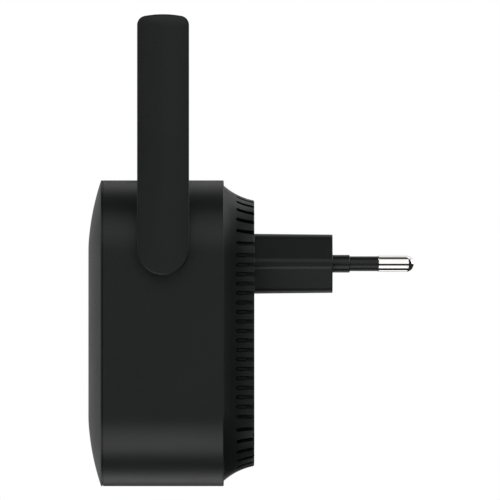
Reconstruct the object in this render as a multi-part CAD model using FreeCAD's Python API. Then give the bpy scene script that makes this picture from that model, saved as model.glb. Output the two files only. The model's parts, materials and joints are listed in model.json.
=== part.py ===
import FreeCAD, Part
import math
import os

# Plug-in wireless range extender with two folding antennas.
#
# Row frame: the origin is the centre of the plug's engagement face, +Y runs along the pins
# into the wall socket, +Z is up and +X is the right-hand side seen from the front.
# Millimetres. The front cover faces -Y.

V = FreeCAD.Vector

# ---------------------------------------------------------------- driving dimensions
BODY = 76.0          # square body, side to side and top to bottom
CORE = 19.95         # half of the straight part of each side; corner centres lie at +-CORE
R_BODY = BODY / 2 - CORE        # 18.05, corner radius of the body
Z0 = -17.27          # height of the body's centre; the plug sits above it

Y_DOME = -60.73      # front of the domed cover
Y_EDGE = -57.45      # where the dome meets the side of the body
DOME_R = 53.0        # radius of the rolled edge of the dome
DOME_FLAT = 0.5      # the flat of the front runs this far past the corner centres
DOME_EASE, DOME_EASE_R = 3.0, 35.0   # reach and radius of the bend from the flat into the roll
Y_CASE_F = -57.10    # front edge of the main housing
Y_CASE_R = -27.08    # rear edge of the main housing
Y_BACK = -19.52      # back plate of the rear cover
CASE_WALL = 2.0
COVER_WALL = 1.8

# flared rear cover, as distance outside the corner centres
FLARE = ((16.75, Y_CASE_R), (14.60, -24.00), (13.03, Y_BACK))
FLARE_WALL = 1.6
BACK_WALL = 2.0
LIP_OUT, LIP_IN = 15.95, 14.75   # locating lips of both covers
LIP_DEEP = 2.5

# vent slots
SLOT_W = 1.05
SLOTS_PER_SIDE = 17
SLOTS_PER_CORNER = 7
SLOT_PHASE = 0.76    # of a pitch, from the start of a side to its first slot
SLOT_Y = -24.05
SLOT_FLOOR = 11.45
RIB_W = 0.44         # ribs of the lining, seen inside the slots
RIB_DEPTH = 0.9

# plug, two-pin 2.5 A pattern
PLUG_W, PLUG_H, PLUG_FLAT, PLUG_END = 35.3, 14.5, 26.1, 1.7      # at the engagement face
PLUG_DRAFT = 0.010   # growth of each side per mm away from that face
PLUG_EDGE_R = 3.0    # long edges of the two broad faces
PLUG_END_R = 1.7     # long edges of the two end faces
PLUG_WALL = 1.8
PLUG_FACE = 2.6
PIN_X = 9.3          # half of the pin spacing at the engagement face
PIN_LEAN = 1.66      # each pin leans towards the other, degrees
PIN_LEN = 20.3
PIN_R = 2.0
PIN_NECK_R = 1.45
SLEEVE_LEN = 11.4
SLEEVE_R = 1.845
COLLAR_LEN = 4.25
COLLAR_R = 2.20

# antennas
ANT_Y, ANT_Z = -42.15, 3.56      # pivot axis, parallel to X
ANT_HALF = 6.436                 # half width of the paddle
ANT_TOP = 61.78                  # top of the paddle
ANT_X0, ANT_XM, ANT_X1 = 38.35, 41.30, 43.90
ANT_CROWN_R = 25.0               # crown of the top edge
ANT_CORNER_R = 2.3
ANT_FACE_R = 24.0                # the outer face is slightly barrelled across its width
ANT_TIP_LEN, ANT_TIP_R = 2.8, 9.5   # and rolls off over its last few millimetres
ANT_FILLET_OUT = 0.45
ANT_FILLET_IN = 1.2
ANT_WALL = 1.3
BARREL_R = 4.0
BARREL_HOLE_R = 4.07
BARREL_END = 32.8
BARREL_BORE_R = 1.7
COAX_R = 0.57

PARTS = "parts"
os.makedirs(PARTS, exist_ok=True)


# ---------------------------------------------------------------- helpers
def box(x0, x1, y0, y1, z0, z1):
    return Part.makeBox(x1 - x0, y1 - y0, z1 - z0, V(x0, y0, z0))


def cyl(r, p, d, h):
    return Part.makeCylinder(r, h, V(*p), V(*d))


def fuse(shapes):
    s = shapes[0]
    if len(shapes) > 1:
        s = s.fuse(shapes[1:])
    return s.removeSplitter()


def turned(shape, centre, axis, deg):
    s = shape.copy()
    s.rotate(V(*centre), V(*axis), deg)
    return s


def moved(shape, x, y, z):
    s = shape.copy()
    s.translate(V(x, y, z))
    return s


def mirrored(shape):
    return shape.mirror(V(0, 0, 0), V(1, 0, 0))


def solids(shape):
    out = []
    for s in shape.Solids:
        if s.Volume > 1e-4:
            out.append(s)
    return out


def save(name, *shapes):
    found = []
    for s in shapes:
        found += solids(s)
    if not found:
        raise SystemExit("no solid for " + name)
    for s in found:
        if not s.isValid():
            s.fix(0.001, 0.001, 0.001)
        if not s.isValid():
            print("INVALID", name, s.Volume)
    out = found[0] if len(found) == 1 else Part.makeCompound(found)
    out.exportStep(os.path.join(PARTS, name + ".step"))
    b = out.BoundBox
    print("%-28s solids %d vol %8.1f  x %.2f..%.2f y %.2f..%.2f z %.2f..%.2f" % (
        name, len(found), sum(s.Volume for s in found), b.XMin, b.XMax, b.YMin, b.YMax, b.ZMin, b.ZMax))


def profile(start, *segs):
    """Closed face in (r, y). A 2-tuple is a straight run to that point, a pair of points an arc through the first to the second."""
    edges, at = [], V(start[0], start[1], 0)
    first = at
    for s in segs:
        if isinstance(s[0], (tuple, list)):
            m, e = V(s[0][0], s[0][1], 0), V(s[1][0], s[1][1], 0)
            edges.append(Part.Arc(at, m, e).toShape())
        else:
            e = V(s[0], s[1], 0)
            if (e - at).Length < 1e-7:
                continue
            edges.append(Part.LineSegment(at, e).toShape())
        at = e
    if (first - at).Length > 1e-7:
        edges.append(Part.LineSegment(at, first).toShape())
    return Part.Face(Part.Wire(edges))


def around(face, y_core=None, core=CORE, z0=Z0):
    """Carries an (r, y) profile round the four sides and four corners of the body square."""
    side = moved(face, core, 0, z0 - core).extrude(V(0, 0, 2 * core))
    corner = moved(face, core, 0, z0 + core).revolve(V(core, 0, z0 + core), V(0, 1, 0), -90)
    got = []
    for k in range(4):
        got.append(turned(side, (0, 0, z0), (0, 1, 0), 90 * k))
        got.append(turned(corner, (0, 0, z0), (0, 1, 0), 90 * k))
    if y_core:
        got.append(box(-core, core, y_core[0], y_core[1], z0 - core, z0 + core))
    return fuse(got)


def circle_of(p, q, s):
    (ax, ay), (bx, by), (cx, cy) = p, q, s
    d = 2 * (ax * (by - cy) + bx * (cy - ay) + cx * (ay - by))
    ux = ((ax * ax + ay * ay) * (by - cy) + (bx * bx + by * by) * (cy - ay) + (cx * cx + cy * cy) * (ay - by)) / d
    uy = ((ax * ax + ay * ay) * (cx - bx) + (bx * bx + by * by) * (ax - cx) + (cx * cx + cy * cy) * (bx - ax)) / d
    return (ux, uy), math.hypot(ax - ux, ay - uy)


(FCX, FCY), FLARE_R = circle_of(*FLARE)


def flare_at(y, inset=0.0):
    """Distance outside the corner centres of the flare, set inside it by inset, at height y."""
    rr = FLARE_R + inset
    return FCX - math.sqrt(rr * rr - (y - FCY) ** 2)


def tube(points, r):
    """Straight runs joined by tangent arcs, as cylinders and torus pieces."""
    p = [V(*q) for q in points]
    cuts, arcs = [], []
    start = p[0]
    got = []
    for i in range(1, len(p) - 1):
        a, b = p[i] - p[i - 1], p[i + 1] - p[i]
        la, lb = a.Length, b.Length
        a.normalize(), b.normalize()
        turn = a.getAngle(b)
        t = 0.45 * min(la, lb)
        rad = t / math.tan(turn / 2)
        t0, t1 = p[i] - a * t, p[i] + b * t
        axis = a.cross(b)
        axis.normalize()
        inward = axis.cross(a)
        centre = t0 + inward * rad
        run = t0 - start
        got.append(Part.makeCylinder(r, run.Length, start, a))
        disc = Part.Face(Part.Wire(Part.makeCircle(r, t0, a)))
        got.append(disc.revolve(centre, axis, math.degrees(turn)))
        start = t1
    last = p[-1] - start
    d = V(last)
    d.normalize()
    got.append(Part.makeCylinder(r, last.Length, start, d))
    return fuse(got)


def rounded_box(x0, x1, y0, y1, z0, z1, r):
    b = box(x0, x1, y0, y1, z0, z1)
    return b.makeFillet(r, b.Edges)


def screw(p, d, length, shank_r, head_r, head_h):
    """Pan-head self-tapping screw with a cross recess; p is under the head, d points along the shank."""
    dv = V(*d)
    shank = Part.makeCylinder(shank_r, length - 1.2, V(*p), dv)
    tip = Part.makeCone(shank_r, 0.25, 1.2, V(*p) + dv * (length - 1.2), dv)
    head = Part.makeCylinder(head_r, head_h, V(*p) - dv * head_h, dv)
    top = [e for e in head.Edges if hasattr(e.Curve, "Radius")
           and abs(((e.CenterOfMass - V(*p)).dot(dv)) + head_h) < 1e-6]
    head = head.makeFillet(head_h * 0.45, top)
    s = fuse([shank, tip, head])
    c = V(*p) - dv * head_h
    for k in (0, 1):
        a, b = (head_r * 0.62, head_r * 0.16) if k == 0 else (head_r * 0.16, head_r * 0.62)
        # the recess lies across the two axes that the screw doesn't run along
        if abs(dv.y) > 0.5:
            y0, y1 = sorted((c.y - dv.y * 0.5, c.y + dv.y * head_h * 0.6))
            s = s.cut(box(c.x - a, c.x + a, y0, y1, c.z - b, c.z + b))
    return s


# ---------------------------------------------------------------- main housing
rr = 0.30
case = around(profile(
    (R_BODY - CASE_WALL, Y_CASE_F),
    (R_BODY - 0.10, Y_CASE_F),
    ((R_BODY - 0.03, Y_CASE_F + 0.03), (R_BODY, Y_CASE_F + 0.10)),
    (R_BODY, Y_CASE_R - rr),
    ((R_BODY - rr * (1 - math.sqrt(0.5)), Y_CASE_R - rr * (1 - math.sqrt(0.5))), (R_BODY - rr, Y_CASE_R)),
    (R_BODY - CASE_WALL, Y_CASE_R),
))
IN = CORE + R_BODY - CASE_WALL       # 36.0, half of the inside

# corner posts that take the case screws, each on a web to the corner wall
POST = 25.8
adds = []
for sx in (-1, 1):
    for sz in (-1, 1):
        px, pz = sx * POST, Z0 + sz * POST
        adds.append(cyl(3.2, (px, -37.0, pz), (0, 1, 0), 8.0))
        web = box(2.0, 9.2, -36.0, -29.9, -1.0, 1.0)
        ang = -math.degrees(math.atan2(sz, sx))
        web = turned(web, (0, 0, 0), (0, 1, 0), ang)
        adds.append(moved(web, px, 0, pz))
# posts for the main board
BOARD_POSTS = [(31.0, Z0 - 9.0), (-31.0, Z0 - 9.0), (0.0, Z0 + 31.0), (0.0, Z0 - 31.0)]
for (px, pz) in BOARD_POSTS:
    adds.append(cyl(2.6, (px, -49.0, pz), (0, 1, 0), 13.6))
    if px:
        adds.append(box(min(px, math.copysign(IN + 0.5, px)), max(px, math.copysign(IN + 0.5, px)),
                        -47.0, -35.4, pz - 0.9, pz + 0.9))
    else:
        s = math.copysign(1, pz - Z0)
        za, zb = sorted((pz, Z0 + s * (IN + 0.5)))
        adds.append(box(-0.9, 0.9, -47.0, -35.4, za, zb))
# bearing bosses round the two antenna holes
for s in (-1, 1):
    adds.append(cyl(6.9, (s * (IN + 0.5), ANT_Y, ANT_Z), (-s, 0, 0), 1.5))
# guide for the reset pin
RESET_X, RESET_Y = 15.0, -51.45
adds.append(cyl(2.0, (RESET_X, RESET_Y, Z0 - IN - 0.5), (0, 0, 1), 3.0))
case = fuse([case] + adds)

cuts = []
for sx in (-1, 1):
    for sz in (-1, 1):
        px, pz = sx * POST, Z0 + sz * POST
        cuts.append(cyl(1.45, (px, -38.0, pz), (0, 1, 0), 12.0))
for (px, pz) in BOARD_POSTS:
    cuts.append(cyl(0.85, (px, -49.5, pz), (0, 1, 0), 8.0))
for s in (-1, 1):
    cuts.append(cyl(BARREL_HOLE_R, (s * 30.0, ANT_Y, ANT_Z), (s, 0, 0), 12.0))
    # half ring that the stop lug of each antenna runs in, on the front side of the hole
    ring = cyl(5.55, (s * 37.0, ANT_Y, ANT_Z), (s, 0, 0), 2.0).cut(cyl(3.0, (s * 36.5, ANT_Y, ANT_Z), (s, 0, 0), 3.0))
    keep = box(min(s * 36.0, s * 40.0), max(s * 36.0, s * 40.0), ANT_Y - 8, ANT_Y + 1.05, ANT_Z - 8, ANT_Z + 8)
    cuts.append(ring.common(keep))
cuts.append(cyl(0.80, (RESET_X, RESET_Y, Z0 - BODY / 2 - 1), (0, 0, 1), 8.0))
# groove in the wall that the snap beads of the front cover drop into
for k in range(4):
    g = box(CORE + R_BODY - CASE_WALL - 0.5, CORE + R_BODY - CASE_WALL + 0.45, -55.75, -54.75, Z0 - 6.2, Z0 + 6.2)
    cuts.append(turned(g, (0, 0, Z0), (0, 1, 0), 90 * k))
case = case.cut(cuts)
save("main_housing", case)

# ---------------------------------------------------------------- front cover
DCY = Y_DOME + DOME_R


def dome_at(r, inset=0.0):
    q = DOME_R - inset
    return DCY - math.sqrt(q * q - r * r)


edge_r = 0.30
y_e = dome_at(R_BODY - edge_r)
# the front bends gently out of the flat, then rolls on in one tangent arc down to the edge
bend = math.asin(DOME_EASE / DOME_EASE_R)


def bend_at(a):
    return DOME_FLAT + DOME_EASE_R * math.sin(a), Y_DOME + DOME_EASE_R * (1 - math.cos(a))


bx, by = bend_at(bend)
ex, ey = R_BODY - edge_r - bx, y_e - by
roll_r = (ex * ex + ey * ey) / (2 * (ey * math.cos(bend) - ex * math.sin(bend)))
rcx, rcy = bx - roll_r * math.sin(bend), by + roll_r * math.cos(bend)
roll_mid = 0.5 * (bend + math.atan2(R_BODY - edge_r - rcx, rcy - y_e))
cover = around(profile(
    (0, Y_DOME),
    (DOME_FLAT, Y_DOME),
    (bend_at(bend / 2), (bx, by)),
    ((rcx + roll_r * math.sin(roll_mid), rcy - roll_r * math.cos(roll_mid)), (R_BODY - edge_r, y_e)),
    ((R_BODY - 0.07, y_e + 0.07), (R_BODY, y_e + 0.20)),
    (R_BODY, Y_CASE_F - 0.16),
    (R_BODY - 0.45, Y_CASE_F - 0.16),
    (R_BODY - 0.45, Y_CASE_F),
    (LIP_OUT, Y_CASE_F),
    (LIP_OUT, Y_CASE_F + LIP_DEEP - 0.4),
    (LIP_OUT - 0.4, Y_CASE_F + LIP_DEEP),
    (LIP_IN, Y_CASE_F + LIP_DEEP),
    (LIP_IN, dome_at(LIP_IN, COVER_WALL)),
    ((8.0, dome_at(8.0, COVER_WALL)), (0, Y_DOME + COVER_WALL)),
), (Y_DOME, Y_DOME + COVER_WALL))
LED_X, LED_Z = 3.2, Z0 - 15.5
adds, cuts = [], []
for s in (-1, 1):
    adds.append(cyl(2.0, (s * LED_X, Y_DOME + 1.0, LED_Z), (0, 1, 0), 3.0))
    cuts.append(cyl(0.80, (s * LED_X, Y_DOME - 1.0, LED_Z), (0, 1, 0), 8.0))
    cuts.append(cyl(1.15, (s * LED_X, Y_DOME + 2.6, LED_Z), (0, 1, 0), 8.0))
for k in range(4):
    b = box(IN - 0.4, IN + 0.28, -55.6, -54.95, Z0 - 6.0, Z0 + 6.0)
    b = b.makeChamfer(0.18, [e for e in b.Edges if abs(e.CenterOfMass.x - (IN + 0.28)) < 1e-6 and e.Length > 5])
    adds.append(turned(b, (0, 0, Z0), (0, 1, 0), 90 * k))
cover = fuse([cover] + adds).cut(cuts)
save("front_cover", cover)

pipes = []
for s in (-1, 1):
    a = cyl(0.78, (s * LED_X, Y_DOME, LED_Z), (0, 1, 0), 3.2)
    b = cyl(1.13, (s * LED_X, Y_DOME + 2.62, LED_Z), (0, 1, 0), 6.7)
    pipes.append(fuse([a, b]))
save("light_pipes", *pipes)

# ---------------------------------------------------------------- rear cover
y_i = Y_BACK - BACK_WALL
fe = 0.55
r_top = flare_at(Y_BACK - fe)
y_base_in = Y_CASE_R
rear = around(profile(
    (0, Y_BACK),
    (r_top - fe * 0.9, Y_BACK),
    ((r_top - fe * 0.27, Y_BACK - fe * 0.27), (r_top, Y_BACK - fe)),
    ((flare_at(-24.0), -24.0), (flare_at(Y_CASE_R), Y_CASE_R)),
    (LIP_OUT, Y_CASE_R),
    (LIP_OUT, Y_CASE_R - LIP_DEEP + 0.4),
    (LIP_OUT - 0.4, Y_CASE_R - LIP_DEEP),
    (LIP_IN, Y_CASE_R - LIP_DEEP),
    (LIP_IN, Y_CASE_R + 0.2),
    (flare_at(Y_CASE_R + 0.6, FLARE_WALL), Y_CASE_R + 0.6),
    ((flare_at(-24.3, FLARE_WALL), -24.3), (flare_at(y_i, FLARE_WALL), y_i)),
    (0, y_i),
), (y_i, Y_BACK))


def plug_section(y, grow):
    """Outline of the plug body in X-Z at height y."""
    w, h, f, e = PLUG_W / 2, PLUG_H / 2, PLUG_FLAT / 2, PLUG_END / 2
    pts = [(w, -e), (w, e), (f, h), (-f, h), (-w, e), (-w, -e), (-f, -h), (f, -h)]
    face = Part.Face(Part.makePolygon([V(x, y, z) for x, z in pts + pts[:1]]))
    g = grow - PLUG_DRAFT * y
    if abs(g) > 1e-9:
        face = Part.Face(face.OuterWire.makeOffset2D(g, 2))
    return face


def plug_prism(y0, y1, grow, r):
    s = Part.makeLoft([plug_section(y0, grow).OuterWire, plug_section(y1, grow).OuterWire], True, True)
    if r:
        long_edges = [e for e in s.Edges if abs(e.Vertexes[0].Point.y - e.Vertexes[-1].Point.y) > abs(y1 - y0) * 0.9]
        tops = [e for e in long_edges if abs(abs(e.CenterOfMass.z)) > PLUG_H / 4]
        ends = [e for e in long_edges if abs(abs(e.CenterOfMass.z)) <= PLUG_H / 4]
        s = s.makeFillet(r, tops)
        long_edges = [e for e in s.Edges if len(e.Vertexes) == 2 and abs(e.Vertexes[0].Point.y - e.Vertexes[-1].Point.y) > abs(y1 - y0) * 0.9]
        ends = [e for e in long_edges if abs(e.CenterOfMass.x) > PLUG_W / 2 - 0.6 + grow and abs(e.CenterOfMass.z) < PLUG_H / 4]
        s = s.makeFillet(PLUG_END_R, ends)
    return s


adds = []
for sx in (-1, 1):
    for sz in (-1, 1):
        adds.append(cyl(3.0, (sx * POST, -28.95, Z0 + sz * POST), (0, 1, 0), 7.8))
POWER_POSTS = [(17.5, 10.6), (-17.5, 10.6), (17.5, Z0 - 27.9), (-17.5, Z0 - 27.9)]
for (px, pz) in POWER_POSTS:
    adds.append(cyl(2.4, (px, -32.0, pz), (0, 1, 0), 10.8))
rear = fuse([rear] + adds)

# vent slots: a row along each straight side and a fan round each corner, open to the back edge
slot = box(SLOT_FLOOR, 20.0, SLOT_Y + SLOT_W / 2, Y_BACK + 1.5, -SLOT_W / 2, SLOT_W / 2)
slot = fuse([slot, cyl(SLOT_W / 2, (SLOT_FLOOR, SLOT_Y + SLOT_W / 2, 0), (1, 0, 0), 20.0 - SLOT_FLOOR)])
cutters = []
pitch = 2 * CORE / SLOTS_PER_SIDE
for k in range(4):
    for i in range(SLOTS_PER_SIDE):
        s = moved(slot, CORE, 0, Z0 - CORE + (i + SLOT_PHASE) * pitch)
        cutters.append(turned(s, (0, 0, Z0), (0, 1, 0), 90 * k))
    for i in range(SLOTS_PER_CORNER):
        a = -90.0 * (i + SLOT_PHASE) / SLOTS_PER_CORNER
        s = turned(slot, (0, 0, 0), (0, 1, 0), a)
        s = moved(s, CORE, 0, Z0 + CORE)
        cutters.append(turned(s, (0, 0, Z0), (0, 1, 0), 90 * k))
for sx in (-1, 1):
    for sz in (-1, 1):
        cutters.append(cyl(1.05, (sx * POST, -29.5, Z0 + sz * POST), (0, 1, 0), 8.4))
for (px, pz) in POWER_POSTS:
    cutters.append(cyl(0.85, (px, -32.5, pz), (0, 1, 0), 8.0))
cutters.append(plug_prism(y_i - 1, Y_BACK + 1, 0.06, PLUG_EDGE_R))
rear = rear.cut(Part.makeCompound(cutters))
save("rear_cover", rear)

# lining behind the slots, which keeps a probe off the mains side
ya, yb = -25.1, y_i
g1, g2 = FLARE_WALL + 0.20, FLARE_WALL + 0.95
ym = (ya + yb) / 2
liner = around(profile(
    (flare_at(ya, g2), ya),
    (flare_at(ya, g1), ya),
    ((flare_at(ym, g1), ym), (flare_at(yb, g1), yb)),
    (flare_at(yb, g2), yb),
    ((flare_at(ym, g2), ym), (flare_at(ya, g2), ya)),
))
liner = liner.cut([cyl(3.25, (sx * POST, -30, Z0 + sz * POST), (0, 1, 0), 10) for sx in (-1, 1) for sz in (-1, 1)])
# a rib of the lining stands behind each slot of the straight sides
yr = SLOT_Y + 0.35
g0 = RIB_DEPTH
ym = (yr + yb) / 2
band = around(profile(
    (flare_at(yr, g1 + 0.3), yr),
    (flare_at(yr, g0), yr),
    ((flare_at(ym, g0), ym), (flare_at(yb, g0), yb)),
    (flare_at(yb, g1 + 0.3), yb),
    ((flare_at(ym, g1 + 0.3), ym), (flare_at(yr, g1 + 0.3), yr)),
))
rib = box(8.0, 20.0, yr - 1, yb + 1, -RIB_W / 2, RIB_W / 2)
ribs = []
for k in range(4):
    for i in range(SLOTS_PER_SIDE):
        s = moved(rib, CORE, 0, Z0 - CORE + (i + SLOT_PHASE) * pitch)
        ribs.append(turned(s, (0, 0, Z0), (0, 1, 0), 90 * k))
ribs = band.common(Part.makeCompound(ribs))
liner = fuse([liner] + ribs.Solids)
save("vent_liner", liner)

# ---------------------------------------------------------------- plug
FLANGE_X, FLANGE_Z = 18.9, 8.05
prism = plug_prism(y_i - 1.5, 0.0, 0.0, PLUG_EDGE_R)
flange = box(-FLANGE_X, FLANGE_X, y_i - 1.5, y_i, -FLANGE_Z, FLANGE_Z)
flange = flange.makeFillet(1.5, [e for e in flange.Edges if abs(e.CenterOfMass.y - (y_i - 0.75)) < 1e-6])
plug = fuse([prism, flange])
cavity = plug_prism(y_i - 3, -PLUG_FACE, -PLUG_WALL, 0)
plug = plug.cut(cavity)
rim = [e for e in plug.Edges if abs(e.BoundBox.YMax) < 1e-6 and abs(e.BoundBox.YMin) < 1e-6]
try:
    p2 = plug.makeFillet(0.25, rim)
    if p2.isValid() and abs(p2.Volume - plug.Volume) < 60:
        plug = p2
except Exception as err:
    print("plug rim left sharp:", err)


def leaned(shape, s):
    """Puts a pin made on the Y axis at its place, leaning towards the other pin."""
    q = turned(shape, (0, 0, 0), (0, 0, 1), s * PIN_LEAN)
    return moved(q, s * PIN_X, 0, 0)


for s in (-1, 1):
    plug = plug.cut(leaned(cyl(COLLAR_R + 0.12, (0, -PLUG_FACE - 1, 0), (0, 1, 0), PLUG_FACE + 2), s))
save("plug_housing", plug)


def spun(points, arc=None):
    """Solid of revolution about the Y axis from (r, y) points; arc replaces the corner after the last point."""
    return profile(points[0], *points[1:]).revolve(V(0, 0, 0), V(0, 1, 0), 360)


pin = spun([(0, -14.0), (PIN_NECK_R, -14.0), (PIN_NECK_R, -5.0), (3.1, -5.0), (3.1, -4.0), (PIN_NECK_R, -4.0),
            (PIN_NECK_R, SLEEVE_LEN), (PIN_R - 0.12, SLEEVE_LEN), (PIN_R, SLEEVE_LEN + 0.12), (PIN_R, PIN_LEN - 1.85),
            ((PIN_R * 0.745, PIN_LEN - 1.85 + 1.85 * 0.667), (0.55, PIN_LEN - 0.04)), (0, PIN_LEN)])
sleeve = spun([(PIN_NECK_R, -3.95), (COLLAR_R + 0.9, -3.95), (COLLAR_R + 0.9, -PLUG_FACE - 0.11), (COLLAR_R, -PLUG_FACE - 0.11),
               (COLLAR_R, COLLAR_LEN - 0.12), (COLLAR_R - 0.12, COLLAR_LEN), (SLEEVE_R, COLLAR_LEN),
               (SLEEVE_R, SLEEVE_LEN), (PIN_NECK_R, SLEEVE_LEN)])
for s, side in ((1, "right"), (-1, "left")):
    save("plug_pin_" + side, leaned(pin, s))
    save("pin_sleeve_" + side, leaned(sleeve, s))
    # brass spring strip from the tail of the pin to the power board, with a ring round the tail
    eye = cyl(2.6, (0, -10.0, 0), (0, 1, 0), 0.8).cut(cyl(PIN_NECK_R + 0.02, (0, -11, 0), (0, 1, 0), 3))
    eye = leaned(eye, s)
    x = s * 9.0
    leg = box(x - 1.3, x + 1.3, -32.0, -9.4, 2.05, 2.75)
    bar = box(x - 1.3, x + 1.3, -10.0, -9.2, 2.0, 2.75)
    tail = leaned(cyl(PIN_NECK_R + 0.02, (0, -15, 0), (0, 1, 0), 12), s)
    strip = fuse([eye, bar, leg]).cut(tail)
    foot = box(x - 0.5, x + 0.5, -34.4, -31.9, 2.05, 2.75)
    save("pin_contact_" + side, fuse([strip, foot]))

# ---------------------------------------------------------------- antennas
def ant_outline(x, grow=0.0):
    """Paddle outline in the plane X = x: round foot about the pivot, straight sides, crowned top."""
    h = ANT_HALF
    zc = ANT_TOP - ANT_CROWN_R                    # centre of the crown's arc
    rc, cr = ANT_CORNER_R, ANT_CROWN_R
    cy = h - rc                                   # centre of the corner arc
    cz = zc + math.sqrt((cr - rc) ** 2 - cy * cy)
    ty, tz = cy * cr / (cr - rc), zc + (cz - zc) * cr / (cr - rc)   # where corner and crown meet
    my, mz = cy + rc * math.sin(math.radians(50)), cz + rc * math.cos(math.radians(50))

    def q(y, z):
        return V(x, ANT_Y + y, z)
    e = [
        Part.Arc(q(-h, ANT_Z), q(0, ANT_Z - h), q(h, ANT_Z)).toShape(),
        Part.LineSegment(q(h, ANT_Z), q(h, cz)).toShape(),
        Part.Arc(q(h, cz), q(my, mz), q(ty, tz)).toShape(),
        Part.Arc(q(ty, tz), q(0, ANT_TOP), q(-ty, tz)).toShape(),
        Part.Arc(q(-ty, tz), q(-my, mz), q(-h, cz)).toShape(),
        Part.LineSegment(q(-h, cz), q(-h, ANT_Z)).toShape(),
    ]
    w = Part.Wire(e)
    if grow:
        w = w.makeOffset2D(grow)
    return Part.Face(w)


def slab(x0, x1, grow=0.0):
    return ant_outline(x0, grow).extrude(V(x1 - x0, 0, 0))


def edges_at_x(shape, x):
    return [e for e in shape.Edges if abs(e.BoundBox.XMin - x) < 1e-6 and abs(e.BoundBox.XMax - x) < 1e-6]


outer = slab(ANT_XM, ANT_X1)
# the barrelled face: an arc across the width, carried along the paddle and rolled over at the tip
face_c = V(ANT_X1 - ANT_FACE_R, ANT_Y, -20)
half_a = math.asin(9.0 / ANT_FACE_R)
xs = ANT_X1 - ANT_FACE_R * (1 - math.cos(half_a))
axis_x = ANT_X1 - ANT_TIP_R
p0, p1 = V(axis_x, ANT_Y - 9, -20), V(xs, ANT_Y - 9, -20)
p2, p3 = V(xs, ANT_Y + 9, -20), V(axis_x, ANT_Y + 9, -20)
barrelled = Part.Face(Part.Wire([
    Part.LineSegment(p0, p1).toShape(), Part.Arc(p1, V(ANT_X1, ANT_Y, -20), p2).toShape(),
    Part.LineSegment(p2, p3).toShape(), Part.LineSegment(p3, p0).toShape()]))
tip_z = ANT_TOP - ANT_TIP_LEN
lengthwise = barrelled.extrude(V(0, 0, tip_z + 20))
rolled = moved(barrelled, 0, 0, tip_z + 20).revolve(V(axis_x, 0, tip_z), V(0, 1, 0), -60)
outer = outer.common(lengthwise.fuse(rolled).removeSplitter())
rim = []
for e in outer.Edges:
    p = e.valueAt(0.5 * (e.FirstParameter + e.LastParameter))
    if p.x > ANT_XM + 0.7 and not (abs(p.y - ANT_Y) < ANT_HALF - 0.5 and ANT_Z < p.z < ANT_TOP - 1.5):
        rim.append(e)
outer = outer.makeFillet(ANT_FILLET_OUT, rim)
inner = slab(ANT_X0, ANT_XM)
inner = inner.makeFillet(ANT_FILLET_IN, edges_at_x(inner, ANT_X0))
outer = outer.makeChamfer(0.10, edges_at_x(outer, ANT_XM))
inner = inner.makeChamfer(0.10, edges_at_x(inner, ANT_XM))
outer = outer.cut(slab(ANT_XM - 1, ANT_X1 - 1.25, -ANT_WALL))
inner = inner.cut(slab(ANT_X0 + ANT_WALL, ANT_XM + 1, -ANT_WALL))
# barrel with its clip groove, stop lug and cable bore
AX = (0, ANT_Y, ANT_Z)
CLIP_X0, CLIP_X1 = 33.75, 34.45
barrel = cyl(BARREL_R, (BARREL_END, ANT_Y, ANT_Z), (1, 0, 0), ANT_X0 + 1.0 - BARREL_END)
barrel = barrel.makeChamfer(0.35, edges_at_x(barrel, BARREL_END))
groove = cyl(BARREL_R + 1, (CLIP_X0, ANT_Y, ANT_Z), (1, 0, 0), CLIP_X1 - CLIP_X0).cut(
    cyl(3.25, (CLIP_X0 - 1, ANT_Y, ANT_Z), (1, 0, 0), 3))
barrel = barrel.cut(groove)
lug = box(37.15, ANT_X0 + 0.5, ANT_Y - 0.8, ANT_Y + 0.8, ANT_Z + 3.6, ANT_Z + 5.35)
inner = fuse([inner, barrel, lug])
bore = cyl(BARREL_BORE_R, (BARREL_END - 1, ANT_Y, ANT_Z), (1, 0, 0), ANT_X0 + ANT_WALL + 1.4 - BARREL_END)
inner = inner.cut(bore)
# ribs that hold the element
rib = [box(ANT_X0 + ANT_WALL - 0.2, 40.0, ANT_Y - 3.2, ANT_Y - 2.6, z, z + 3) for z in (22, 50)]
rib += [box(ANT_X0 + ANT_WALL - 0.2, 40.0, ANT_Y + 2.6, ANT_Y + 3.2, z, z + 3) for z in (22, 50)]
inner = fuse([inner] + rib)
element = fuse([
    box(40.0, 40.6, ANT_Y - 3.6, ANT_Y + 3.6, 17.0, 56.0),
    box(40.6, 40.7, ANT_Y - 2.9, ANT_Y + 2.9, 18.0, 34.5),
    box(40.6, 40.7, ANT_Y - 2.9, ANT_Y + 2.9, 36.5, 55.0),
])
coax_a = tube([(41.35, ANT_Y, 18.5), (41.35, ANT_Y, 8.8), (40.4, ANT_Y, 4.7), (37.2, ANT_Y, 3.66), (33.3, ANT_Y, 3.66)], COAX_R)
washer = cyl(4.95, (34.5, ANT_Y, ANT_Z), (1, 0, 0), 0.42).cut(cyl(4.1, (34, ANT_Y, ANT_Z), (1, 0, 0), 2))
clip = cyl(5.5, (CLIP_X0 + 0.02, ANT_Y, ANT_Z), (1, 0, 0), CLIP_X1 - CLIP_X0 - 0.04).cut(
    [cyl(3.28, (CLIP_X0 - 1, ANT_Y, ANT_Z), (1, 0, 0), 3), box(33, 35, ANT_Y - 2.2, ANT_Y + 2.2, ANT_Z - 7, ANT_Z - 2)])
coax_b = tube([(33.0, ANT_Y, ANT_Z), (26.0, ANT_Y, ANT_Z), (23.0, ANT_Y - 2.4, ANT_Z - 2.0), (23.0, -49.0, ANT_Z - 2.0)], COAX_R)
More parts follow.
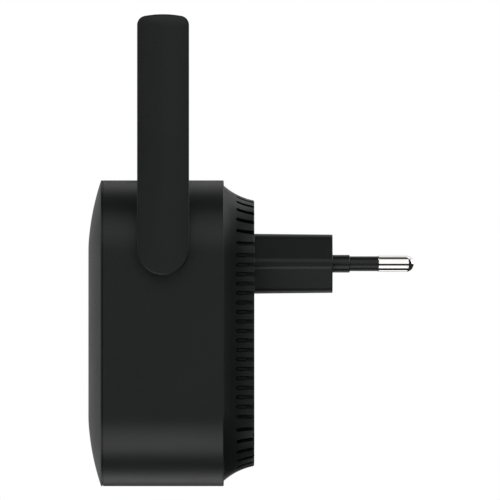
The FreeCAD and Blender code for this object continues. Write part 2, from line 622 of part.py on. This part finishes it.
for side, f in (("right", lambda q: q), ("left", mirrored)):
    save("antenna_%s_outer_shell" % side, f(outer))
    save("antenna_%s_pivot_shell" % side, f(inner))
    save("antenna_%s_element" % side, f(element))
    save("antenna_%s_coax" % side, f(coax_a))
    save("antenna_%s_washer" % side, f(washer))
    save("antenna_%s_clip" % side, f(clip))
    save("coax_lead_%s" % side, f(coax_b))

# ---------------------------------------------------------------- main board and what it carries
MB0, MB1 = -50.2, -49.0
mb = box(-33.3, 33.3, MB0, MB1, Z0 - 33.3, Z0 + 33.3)
mb = mb.makeFillet(13.4, [e for e in mb.Edges if abs(e.CenterOfMass.y - (MB0 + MB1) / 2) < 1e-6])
mb = mb.cut([cyl(1.1, (px, MB0 - 1, pz), (0, 1, 0), 4) for (px, pz) in BOARD_POSTS])
save("main_board", mb)
save("main_board_screws", *[screw((px, MB0, pz), (0, 1, 0), 6.0, 0.83, 1.9, 1.2) for (px, pz) in BOARD_POSTS])

chip = box(-6, 6, MB0 - 0.9, MB0, Z0 - 1, Z0 + 11)
chip = chip.makeChamfer(0.15, [e for e in chip.Edges if abs(e.CenterOfMass.y - (MB0 - 0.9)) < 1e-6])
save("wifi_chip", chip)
can = box(-12, 12, MB0 - 2.4, MB0, Z0 - 6, Z0 + 17)
can = can.makeFillet(0.5, [e for e in can.Edges if abs(e.CenterOfMass.y - (MB0 - 2.4)) < 1e-6])
can = can.cut(box(-11.75, 11.75, MB0 - 2.15, MB0 + 1, Z0 - 5.75, Z0 + 16.75))
save("shield_can", can)
save("thermal_pad", box(-8, 8, MB0 - 3.1, MB0 - 2.4, Z0 - 3, Z0 + 13))
sp = box(-13, 13, MB0 - 4.3, MB0 - 3.1, Z0 - 7, Z0 + 18)
sp = sp.makeFillet(2.0, [e for e in sp.Edges if abs(e.CenterOfMass.y - (MB0 - 3.7)) < 1e-6])
save("heat_spreader", sp)
save("memory_chips", box(-24, -18, MB0 - 0.9, MB0, Z0 + 2, Z0 + 7), box(17.5, 23.5, MB0 - 1.0, MB0, Z0 + 1, Z0 + 9))
save("crystal", rounded_box(-20.5, -17.3, MB0 - 0.8, MB0, Z0 + 10, Z0 + 12.5, 0.2))
save("status_leds", *[box(s * LED_X - 0.8, s * LED_X + 0.8, MB0 - 0.6, MB0, LED_Z - 0.5, LED_Z + 0.5) for s in (-1, 1)])
# right-angle reset switch on the lower edge of the board, its plunger over the pin hole
RZ = Z0 - 30.6
sw = box(RESET_X - 2.3, RESET_X + 2.3, MB0 - 2.5, MB0, RZ, RZ + 3.6)
sw = sw.cut([cyl(0.80, (RESET_X, RESET_Y, RZ - 1), (0, 0, 1), 2.6), cyl(1.12, (RESET_X, RESET_Y, RZ + 0.6), (0, 0, 1), 1.7)])
save("reset_switch_body", sw)
pl = cyl(0.75, (RESET_X, RESET_Y, RZ - 0.9), (0, 0, 1), 2.6)
pl = pl.makeFillet(0.25, [e for e in pl.Edges if abs(e.BoundBox.ZMax - (RZ - 0.9)) < 1e-6])
save("reset_switch_plunger", fuse([pl, cyl(1.05, (RESET_X, RESET_Y, RZ + 0.7), (0, 0, 1), 0.6)]))

# ---------------------------------------------------------------- power board and what it carries
PB0, PB1 = -33.6, -32.0
pb = box(-21.5, 21.5, PB0, PB1, Z0 - 31.0, Z0 + 31.0)
pb = pb.makeFillet(2.0, [e for e in pb.Edges if abs(e.CenterOfMass.y - (PB0 + PB1) / 2) < 1e-6])
pb = pb.cut([cyl(1.1, (px, PB0 - 1, pz), (0, 1, 0), 4) for (px, pz) in POWER_POSTS])
pb = pb.cut([box(s * 9.0 - 0.6, s * 9.0 + 0.6, PB0 - 1, PB1 + 1, 1.95, 2.85) for s in (-1, 1)])
save("power_board", pb)
save("power_board_screws", *[screw((px, PB0, pz), (0, 1, 0), 6.0, 0.83, 1.9, 1.2) for (px, pz) in POWER_POSTS])

TZ = Z0 - 9.0
core_t = box(-8.2, 8.2, PB0 - 12.6, PB0 - 0.6, TZ - 2.4, TZ + 2.4)
core_t = core_t.cut([box(-6.0, -2.2, PB0 - 10.6, PB0 - 2.6, TZ - 5, TZ + 5), box(2.2, 6.0, PB0 - 10.6, PB0 - 2.6, TZ - 5, TZ + 5)])
wind = box(-5.9, 5.9, PB0 - 10.5, PB0 - 2.7, TZ - 7.2, TZ + 7.2)
wind = wind.makeFillet(2.0, [e for e in wind.Edges if abs(abs(e.CenterOfMass.x) - 5.9) < 1e-6 and abs(abs(e.CenterOfMass.z - TZ) - 7.2) < 1e-6])
wind = wind.cut(box(-2.25, 2.25, PB0 - 10.65, PB0 - 2.55, TZ - 2.45, TZ + 2.45))
wind = wind.cut([box(-9, -5.95, PB0 - 14, PB0, TZ - 2.45, TZ + 2.45), box(5.95, 9, PB0 - 14, PB0, TZ - 2.45, TZ + 2.45)])
legs = [cyl(0.35, (x, PB0 - 3.0, TZ + dz), (0, 1, 0), 3.0) for x in (-4, 0, 4) for dz in (-6.4, 6.4)]
save("transformer_core", core_t)
save("transformer_winding", fuse([wind] + legs))


def can_cap(x, z, r, h):
    c = cyl(r, (x, PB0 - h, z), (0, 1, 0), h)
    c = c.makeFillet(0.6, [e for e in c.Edges if abs(e.BoundBox.YMax - (PB0 - h)) < 1e-6])
    ring = cyl(r + 1, (x, PB0 - 1.8, z), (0, 1, 0), 0.7).cut(cyl(r - 0.35, (x, PB0 - 3, z), (0, 1, 0), 4))
    return c.cut(ring)


save("bulk_capacitors", can_cap(-15.0, Z0 + 14.5, 4.6, 12.5), can_cap(-4.6, Z0 + 14.5, 4.6, 12.5))
save("output_capacitor", can_cap(12.4, Z0 - 22.6, 4.0, 10.5))
br = box(4.0, 10.5, PB0 - 3.2, PB0, Z0 + 12.3, Z0 + 18.3)
save("bridge_rectifier", br.makeChamfer(0.3, [e for e in br.Edges if abs(e.CenterOfMass.y - (PB0 - 3.2)) < 1e-6]))
fz = cyl(1.7, (12.4, PB0 - 1.8, Z0 + 24.5), (1, 0, 0), 6.6)
fz = fz.makeFillet(0.5, [e for e in fz.Edges if e.BoundBox.XLength < 1e-6])
save("fuse", fuse([fz, cyl(0.3, (13.4, PB0 - 1.8, Z0 + 24.5), (0, 1, 0), 1.8), cyl(0.3, (18.0, PB0 - 1.8, Z0 + 24.5), (0, 1, 0), 1.8)]))
drum = cyl(3.6, (15.5, PB0 - 7.5, Z0 + 15.5), (0, 1, 0), 7.5)
drum = drum.cut(cyl(5, (15.5, PB0 - 6.3, Z0 + 15.5), (0, 1, 0), 5.1).cut(cyl(2.9, (15.5, PB0 - 8, Z0 + 15.5), (0, 1, 0), 9)))
save("emi_choke", drum)
yc = cyl(3.8, (15.2, PB0 - 4.6, Z0 + 3.4), (0, 0, 1), 2.6)
yc = yc.makeFillet(0.9, yc.Edges[:1] + [e for e in yc.Edges if e.BoundBox.ZLength < 1e-6][1:])
save("safety_capacitor", fuse([yc, cyl(0.3, (12.9, PB0 - 2.0, Z0 + 4.7), (0, 1, 0), 2.0), cyl(0.3, (17.5, PB0 - 2.0, Z0 + 4.7), (0, 1, 0), 2.0)]))
ct = box(-16.5, -11.5, PB0 - 1.6, PB0, Z0 + 0.5, Z0 + 5.0)
save("power_controller", ct.makeChamfer(0.2, [e for e in ct.Edges if abs(e.CenterOfMass.y - (PB0 - 1.6)) < 1e-6]))
hz = Z0 - 25.0
hd = box(-12.0, -2.0, PB0 - 2.5, PB0, hz - 1.27, hz + 1.27)
pins = [box(x - 0.32, x + 0.32, MB1, PB0 - 2.4, hz - 0.32, hz + 0.32) for x in (-10.8, -8.26, -5.72, -3.18)]
save("board_header", fuse([hd] + pins))

# ---------------------------------------------------------------- case screws
save("case_screws", *[screw((sx * POST, -37.0, Z0 + sz * POST), (0, 1, 0), 14.5, 1.03, 2.5, 1.6)
                      for sx in (-1, 1) for sz in (-1, 1)])
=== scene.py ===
import json
import math

import bpy
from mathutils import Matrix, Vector


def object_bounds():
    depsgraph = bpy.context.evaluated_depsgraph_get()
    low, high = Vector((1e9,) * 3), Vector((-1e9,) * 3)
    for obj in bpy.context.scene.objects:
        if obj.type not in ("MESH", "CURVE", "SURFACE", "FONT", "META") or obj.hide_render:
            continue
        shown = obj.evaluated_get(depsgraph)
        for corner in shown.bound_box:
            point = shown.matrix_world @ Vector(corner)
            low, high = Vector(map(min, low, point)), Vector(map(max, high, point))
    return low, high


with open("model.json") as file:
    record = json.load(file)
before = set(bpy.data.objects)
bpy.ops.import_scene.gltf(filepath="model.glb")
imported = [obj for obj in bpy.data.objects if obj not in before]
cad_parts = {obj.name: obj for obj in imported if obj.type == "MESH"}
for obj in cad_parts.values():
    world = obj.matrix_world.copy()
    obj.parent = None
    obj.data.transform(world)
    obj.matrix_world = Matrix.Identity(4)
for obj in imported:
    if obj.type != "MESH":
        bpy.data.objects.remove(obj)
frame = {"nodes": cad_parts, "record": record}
CAD_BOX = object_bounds()
MM = 0.001
scene = bpy.context.scene
scene.view_settings.view_transform = "Standard"
scene.view_settings.look = "None"
scene.view_settings.exposure = 0.0
scene.view_settings.gamma = 1.0


# ---------------------------------------------------------------- node helpers
class Nodes:
    """Short names for building one material's node tree."""

    def __init__(self, name):
        self.mat = bpy.data.materials.new(name)
        self.mat.use_nodes = True
        self.t = self.mat.node_tree
        self.t.nodes.clear()
        self.out = self.t.nodes.new("ShaderNodeOutputMaterial")
        self.bsdf = self.t.nodes.new("ShaderNodeBsdfPrincipled")
        self.t.links.new(self.bsdf.outputs[0], self.out.inputs[0])
        self.coord = self.t.nodes.new("ShaderNodeTexCoord").outputs["Object"]

    def new(self, kind, **props):
        n = self.t.nodes.new(kind)
        for k, v in props.items():
            setattr(n, k, v)
        return n

    def link(self, a, b):
        self.t.links.new(a, b)

    def noise(self, scale, detail=2.0, rough=0.5, coord=None, distortion=0.0):
        n = self.new("ShaderNodeTexNoise")
        n.inputs["Scale"].default_value = scale
        n.inputs["Detail"].default_value = detail
        n.inputs["Roughness"].default_value = rough
        n.inputs["Distortion"].default_value = distortion
        self.link(coord or self.coord, n.inputs["Vector"])
        return n.outputs["Fac"]

    def cells(self, scale, coord=None, feature="F1", randomness=1.0):
        n = self.new("ShaderNodeTexVoronoi", feature=feature)
        n.inputs["Scale"].default_value = scale
        n.inputs["Randomness"].default_value = randomness
        self.link(coord or self.coord, n.inputs["Vector"])
        return n.outputs["Distance"]

    def stretched(self, sx, sy, sz):
        m = self.new("ShaderNodeMapping")
        m.inputs["Scale"].default_value = (sx, sy, sz)
        self.link(self.coord, m.inputs["Vector"])
        return m.outputs["Vector"]

    def spread(self, fac, lo, hi, a=0.0, b=1.0):
        """Maps fac from a..b to lo..hi."""
        n = self.new("ShaderNodeMapRange")
        n.inputs["From Min"].default_value = a
        n.inputs["From Max"].default_value = b
        n.inputs["To Min"].default_value = lo
        n.inputs["To Max"].default_value = hi
        self.link(fac, n.inputs["Value"])
        return n.outputs["Result"]

    def math(self, op, a, b=None, clamp=False):
        n = self.new("ShaderNodeMath", operation=op, use_clamp=clamp)
        for i, v in enumerate((a, b)):
            if v is None:
                continue
            if isinstance(v, (int, float)):
                n.inputs[i].default_value = v
            else:
                self.link(v, n.inputs[i])
        return n.outputs[0]

    def ramp(self, fac, *stops, mode="LINEAR"):
        n = self.new("ShaderNodeValToRGB")
        n.color_ramp.interpolation = mode
        e = n.color_ramp.elements
        while len(e) < len(stops):
            e.new(0.5)
        for el, (p, c) in zip(e, stops):
            el.position = p
            el.color = (*c, 1.0)
        self.link(fac, n.inputs["Fac"])
        return n.outputs["Color"]

    def mix(self, fac, a, b):
        n = self.new("ShaderNodeMix", data_type="RGBA")
        for s, v in ((n.inputs[0], fac), (n.inputs[6], a), (n.inputs[7], b)):
            if isinstance(v, (int, float)):
                s.default_value = v
            elif isinstance(v, tuple):
                s.default_value = (*v, 1.0)
            else:
                self.link(v, s)
        return n.outputs[2]

    def bump(self, height, strength, distance, normal=None):
        n = self.new("ShaderNodeBump")
        n.inputs["Strength"].default_value = strength
        n.inputs["Distance"].default_value = distance
        self.link(height, n.inputs["Height"])
        if normal is not None:
            self.link(normal, n.inputs["Normal"])
        return n.outputs["Normal"]

    def set(self, **values):
        for k, v in values.items():
            s = self.bsdf.inputs[k.replace("_", " ")]
            if isinstance(v, (int, float)):
                s.default_value = v
            elif isinstance(v, tuple):
                s.default_value = (*v, 1.0)
            else:
                self.link(v, s)


def plastic(name, base, rough, spark=0.0004, ior=1.46, grain=1.0, spec=0.5, mottle=0.10):
    """Injection-moulded plastic with a fine spark-eroded mould texture, faint flow mottling and handling marks."""
    n = Nodes(name)
    fine = n.cells(1.0 / spark, feature="SMOOTH_F1")
    finer = n.noise(0.7 / spark, 3.0, 0.6)
    broad = n.noise(55.0, 3.0, 0.55)
    flow = n.noise(14.0, 2.0, 0.5, coord=n.stretched(1.0, 1.0, 0.35), distortion=0.6)
    lo = tuple(c * (1.0 - mottle) for c in base)
    hi = tuple(c * (1.0 + mottle) for c in base)
    shade = n.math("ADD", n.math("MULTIPLY", finer, 0.55), n.math("MULTIPLY", flow, 0.45))
    n.set(Base_Color=n.ramp(shade, (0.32, lo), (0.68, hi)))
    r = n.math("ADD", n.math("MULTIPLY", finer, 0.5), n.math("MULTIPLY", broad, 0.5))
    n.set(Roughness=n.spread(r, rough - 0.055, rough + 0.055, 0.3, 0.7))
    b = n.bump(fine, 0.10 * grain, spark * 0.30)
    b = n.bump(finer, 0.10 * grain, spark * 0.22, b)
    n.set(Normal=b)
    n.set(IOR=ior, Specular_IOR_Level=spec)
    return n.mat


def polished_metal(name, base, rough, scratch=1.0, axis="Y", tint=None):
    """Plated metal with fine turning marks round it and faint cloudy variation in tone and gloss."""
    n = Nodes(name)
    sc = {"X": (60, 1, 1), "Y": (1, 60, 1), "Z": (1, 1, 60)}[axis]
    rings = n.noise(130.0, 3.0, 0.6, coord=n.stretched(*sc))
    cloud = n.noise(220.0, 3.0, 0.5)
    c2 = tint or tuple(c * 0.90 for c in base)
    n.set(Base_Color=n.ramp(cloud, (0.35, c2), (0.65, base)), Metallic=1.0)
    n.set(Roughness=n.spread(n.math("ADD", n.math("MULTIPLY", rings, 0.6), n.math("MULTIPLY", cloud, 0.4)),
                             rough * 0.7, rough * 1.35, 0.3, 0.7))
    n.set(Normal=n.bump(rings, 0.06 * scratch, 0.00002))
    return n.mat


def sheet_metal(name, base, rough, metallic=1.0, grain=(1, 40, 1)):
    n = Nodes(name)
    g = n.noise(90.0, 4.0, 0.65, coord=n.stretched(*grain))
    cloud = n.noise(70.0, 3.0, 0.5)
    n.set(Base_Color=n.ramp(n.math("ADD", n.math("MULTIPLY", g, 0.5), n.math("MULTIPLY", cloud, 0.5)),
                            (0.3, tuple(c * 0.82 for c in base)), (0.7, tuple(min(1.0, c * 1.08) for c in base))), Metallic=metallic)
    n.set(Roughness=n.spread(cloud, rough - 0.08, rough + 0.10, 0.3, 0.7))
    n.set(Normal=n.bump(g, 0.12, 0.00003))
    return n.mat


def circuit_board(name, base, copper, axis):
    """Solder mask over traces: thin lighter tracks on a grid, plated spots and glass weave underneath."""
    n = Nodes(name)
    sep = n.new("ShaderNodeSeparateXYZ")
    n.link(n.coord, sep.inputs[0])
    other = {"Y": ("X", "Z"), "X": ("Y", "Z")}[axis]
    comb = n.new("ShaderNodeCombineXYZ")
    n.link(sep.outputs[other[0]], comb.inputs[0])
    n.link(sep.outputs[other[1]], comb.inputs[1])
    flat = comb.outputs[0]
    brick = n.new("ShaderNodeTexBrick")
    brick.inputs["Scale"].default_value = 120.0
    brick.inputs["Mortar Size"].default_value = 0.035
    brick.inputs["Color1"].default_value = (0, 0, 0, 1)
    brick.inputs["Color2"].default_value = (0.0, 0.0, 0.0, 1)
    brick.inputs["Mortar"].default_value = (1, 1, 1, 1)
    n.link(flat, brick.inputs["Vector"])
    tracks = brick.outputs["Color"]
    patch = n.math("GREATER_THAN", n.noise(60.0, 1.0, 0.4, coord=flat), 0.52)
    tracks = n.math("MULTIPLY", tracks, patch)
    vias = n.math("LESS_THAN", n.cells(420.0, coord=flat), 0.16)
    vias = n.math("MULTIPLY", vias, n.math("GREATER_THAN", n.noise(140.0, 1.0, 0.4, coord=flat), 0.56))
    weave = n.noise(2500.0, 1.0, 0.5, coord=flat)
    light = tuple(min(1.0, c * 1.75 + 0.01) for c in base)
    col = n.mix(n.math("MULTIPLY", tracks, 0.8), base, light)
    col = n.mix(vias, col, copper)
    n.set(Base_Color=col)
    n.set(Metallic=n.math("MULTIPLY", vias, 0.9))
    n.set(Roughness=n.spread(weave, 0.26, 0.42, 0.3, 0.7))
    n.set(Normal=n.bump(n.math("ADD", tracks, n.math("MULTIPLY", weave, 0.2)), 0.25, 0.00003))
    return n.mat


def coated(name, base, rough, coat, scale=900.0, band=None):
    n = Nodes(name)
    f = n.noise(scale, 3.0, 0.55)
    col = n.ramp(f, (0.35, tuple(c * 0.85 for c in base)), (0.65, tuple(min(1.0, c * 1.12) for c in base)))
    n.set(Base_Color=col, Roughness=n.spread(f, rough - 0.05, rough + 0.07, 0.3, 0.7))
    n.set(Normal=n.bump(f, 0.15, 0.00004))
    n.set(Coat_Weight=coat, Coat_Roughness=0.12)
    return n.mat


# ---------------------------------------------------------------- materials
M = {}
M["casing_black"] = plastic("casing_black", (0.0059, 0.0076, 0.0067), 0.40, spark=0.00042, spec=0.33)
M["front_black"] = plastic("front_black", (0.0062, 0.0078, 0.0070), 0.40, spark=0.00042, spec=0.33)
M["antenna_black"] = plastic("antenna_black", (0.0058, 0.0074, 0.0066), 0.40, spark=0.00036, spec=0.33)
M["plug_black"] = plastic("plug_black", (0.0052, 0.0066, 0.0059), 0.38, spark=0.00038, spec=0.33)
M["sleeve_black"] = plastic("sleeve_black", (0.0055, 0.0067, 0.0062), 0.33, spark=0.00022, grain=0.7, spec=0.33)
M["liner_grey"] = plastic("liner_grey", (0.0200, 0.0207, 0.0203), 0.60, spark=0.00040, spec=0.33)
M["switch_black"] = plastic("switch_black", (0.014, 0.014, 0.015), 0.45, spark=0.00020)
M["switch_grey"] = plastic("switch_grey", (0.16, 0.16, 0.165), 0.45, spark=0.00020)
M["header_black"] = plastic("header_black", (0.012, 0.012, 0.012), 0.45, spark=0.00020)
M["washer_white"] = plastic("washer_white", (0.62, 0.61, 0.56), 0.42, spark=0.00025)
M["chip_black"] = plastic("chip_black", (0.016, 0.016, 0.017), 0.55, spark=0.00012, grain=1.4)
M["cable_grey"] = plastic("cable_grey", (0.10, 0.10, 0.105), 0.38, spark=0.00030, grain=0.6)
M["nickel_brass"] = polished_metal("nickel_brass", (0.93, 0.925, 0.915), 0.065, scratch=0.2, axis="Y", tint=(0.87, 0.86, 0.84))
M["brass_strip"] = sheet_metal("brass_strip", (0.72, 0.52, 0.22), 0.32)
M["steel_screw"] = sheet_metal("steel_screw", (0.48, 0.48, 0.47), 0.34, grain=(30, 1, 30))
M["tin_steel"] = sheet_metal("tin_steel", (0.60, 0.60, 0.58), 0.33, grain=(40, 1, 1))
M["aluminium_plate"] = sheet_metal("aluminium_plate", (0.70, 0.71, 0.72), 0.38, grain=(1, 1, 45))
M["board_green"] = circuit_board("board_green", (0.010, 0.075, 0.028), (0.72, 0.55, 0.28), "Y")
M["board_green_side"] = circuit_board("board_green_side", (0.010, 0.075, 0.028), (0.72, 0.55, 0.28), "X")
M["thermal_rubber"] = coated("thermal_rubber", (0.22, 0.27, 0.36), 0.62, 0.0, 700.0)
M["led_white"] = coated("led_white", (0.70, 0.68, 0.42), 0.30, 0.6, 1500.0)
M["ferrite"] = coated("ferrite", (0.030, 0.030, 0.032), 0.55, 0.0, 1800.0)
M["tape_yellow"] = coated("tape_yellow", (0.60, 0.42, 0.05), 0.30, 0.5, 240.0)
M["capacitor_sleeve"] = coated("capacitor_sleeve", (0.012, 0.022, 0.055), 0.30, 0.6, 300.0)
M["fuse_ceramic"] = coated("fuse_ceramic", (0.52, 0.49, 0.40), 0.35, 0.4, 500.0)
M["capacitor_blue"] = coated("capacitor_blue", (0.015, 0.070, 0.26), 0.28, 0.7, 600.0)


def clear_plastic():
    """Frosted acrylic light guide."""
    n = Nodes("clear_plastic")
    f = n.noise(2200.0, 3.0, 0.55)
    n.set(Base_Color=n.ramp(f, (0.3, (0.70, 0.74, 0.76)), (0.7, (0.86, 0.89, 0.90))))
    n.set(Roughness=n.spread(f, 0.22, 0.38, 0.3, 0.7), Transmission_Weight=0.55, IOR=1.49)
    n.set(Normal=n.bump(f, 0.1, 0.00002))
    return n.mat


M["clear_plastic"] = clear_plastic()

slot_of = {s["node"]: s["material_slot"] for s in frame["record"]["subparts"]}
for node, obj in frame["nodes"].items():
    slot = slot_of[node]
    mat = M["board_green_side"] if node.endswith("_element") else M[slot]
    if not obj.material_slots:
        obj.data.materials.append(mat)
    for s in obj.material_slots:
        s.material = mat

# ---------------------------------------------------------------- camera
VIEW_Y, VIEW_Z = -20.57 * MM, 3.418 * MM      # middle of the view
VIEW_W = 124.24 * MM                         # width of the view, in the plane X = VIEW_X
VIEW_X = 20.0 * MM
STAND_Y = -37.5 * MM                         # the camera stands level with the antennas, so one hides the other
LENS = 1600.0
cam_data = bpy.data.cameras.new("camera")
cam_data.lens, cam_data.sensor_width = LENS, 36.0
cam_data.clip_start, cam_data.clip_end = 0.1, 60.0
cam = bpy.data.objects.new("camera", cam_data)
scene.collection.objects.link(cam)
cam.location = (VIEW_X + VIEW_W * LENS / 36.0, STAND_Y, VIEW_Z)
cam.rotation_euler = (math.radians(90), 0, math.radians(90) - math.atan2(VIEW_Y - STAND_Y, VIEW_W * LENS / 36.0))
scene.camera = cam

# ---------------------------------------------------------------- light
AIM = Vector((0, -25, 0)) * MM


def direction(az, el):
    """Azimuth 90 is towards the camera (+X), 0 towards the front (-Y); elevation above the horizon."""
    a, e = math.radians(az), math.radians(el)
    return Vector((math.sin(a) * math.cos(e), -math.cos(a) * math.cos(e), math.sin(e)))


def panel(name, az, el, dist, w, h, radiance, tint=(1.0, 1.0, 1.0)):
    """Soft box facing the part; radiance is what a mirror would see in it."""
    d = bpy.data.lights.new(name, "AREA")
    d.shape, d.size, d.size_y = "RECTANGLE", w, h
    d.energy = radiance * math.pi * w * h
    d.color = tint
    o = bpy.data.objects.new(name, d)
    scene.collection.objects.link(o)
    o.location = AIM + direction(az, el) * dist
    o.rotation_mode = "QUATERNION"
    o.rotation_quaternion = (AIM - o.location).to_track_quat("-Z", "Y")
    o.visible_camera = False
    return o


DIST = 1.4


def reach(deg):
    """Length that a box at DIST needs to cover this angle."""
    return 2 * DIST * math.tan(math.radians(deg / 2))


def soft_box(name, az, el_low, el_high, wide, radiance):
    panel(name, az, (el_low + el_high) / 2, DIST, reach(wide), reach(el_high - el_low), radiance)


# in front of the part's right-hand side: upper and lower boxes with a dark gap level with the camera
soft_box("upper_rear_box", 108, 0, 66, 44, 1.11)
soft_box("upper_front_box", 64, 13, 48, 44, 0.92)
soft_box("lower_front_box", 64, -66, -13, 44, 2.08)
soft_box("lower_rear_box", 108, -66, -27, 44, 1.00)
# behind it: boxes that rake the top, the underside and the domed front
soft_box("back_level", 248, -20, 20, 44, 0.81)
soft_box("back_upper", 248, 27, 72, 44, 0.83)
soft_box("back_front", 292, -20, 20, 44, 0.47)
soft_box("back_lower", 292, -72, -42, 44, 1.39)
soft_box("front_low", 336, -36, 0, 44, 0.90)
soft_box("front_upper", 0, 5, 55, 44, 1.20)
soft_box("rear_level", 200, 0, 36, 44, 2.18)
soft_box("rear_upper", 200, 36, 72, 44, 0.50)
soft_box("overhead", 86, 76, 100, 26, 0.08)

world = bpy.data.worlds.new("studio")
scene.world = world
world.use_nodes = True
wt = world.node_tree
wt.nodes.clear()
w_out = wt.nodes.new("ShaderNodeOutputWorld")
w_mix = wt.nodes.new("ShaderNodeMixShader")
w_dim = wt.nodes.new("ShaderNodeBackground")
w_dim.inputs["Color"].default_value = (1, 1, 1, 1)
w_dim.inputs["Strength"].default_value = 0.019
w_see = wt.nodes.new("ShaderNodeBackground")
w_see.inputs["Color"].default_value = (1, 1, 1, 1)
w_see.inputs["Strength"].default_value = 1.0
w_path = wt.nodes.new("ShaderNodeLightPath")
wt.links.new(w_path.outputs["Is Camera Ray"], w_mix.inputs[0])
wt.links.new(w_dim.outputs[0], w_mix.inputs[1])
wt.links.new(w_see.outputs[0], w_mix.inputs[2])
wt.links.new(w_mix.outputs[0], w_out.inputs[0])

# ---------------------------------------------------------------- floor
def make_floor():
    """Round pale floor well below the part, which is held by its plug and doesn't stand on it."""
    r, z, k = 1.6, CAD_BOX[0].z - 0.22, 96
    verts = [(0.0, 0.0, z)]
    faces = []
    rings = (0.25, 0.6, 1.0, 1.3, r)
    for q in rings:
        verts += [(q * math.cos(2 * math.pi * i / k), q * math.sin(2 * math.pi * i / k), z) for i in range(k)]
    faces += [(0, 1 + i, 1 + (i + 1) % k) for i in range(k)]
    for j in range(len(rings) - 1):
        a, b = 1 + j * k, 1 + (j + 1) * k
        faces += [(a + i, b + i, b + (i + 1) % k, a + (i + 1) % k) for i in range(k)]
    me = bpy.data.meshes.new("floor")
    me.from_pydata(verts, [], faces)
    o = bpy.data.objects.new("floor", me)
    scene.collection.objects.link(o)
    n = Nodes("floor_pale")
    f = n.noise(18.0, 3.0, 0.5)
    n.set(Base_Color=n.ramp(f, (0.3, (0.87, 0.87, 0.87)), (0.7, (0.91, 0.91, 0.91))), Roughness=0.8)
    n.bsdf.inputs["Emission Color"].default_value = (1, 1, 1, 1)
    n.bsdf.inputs["Emission Strength"].default_value = 0.95
    me.materials.append(n.mat)
    o.visible_glossy = False
    o.visible_diffuse = False
    o.visible_shadow = False      # the lower soft boxes shine through it
    return o


make_floor()
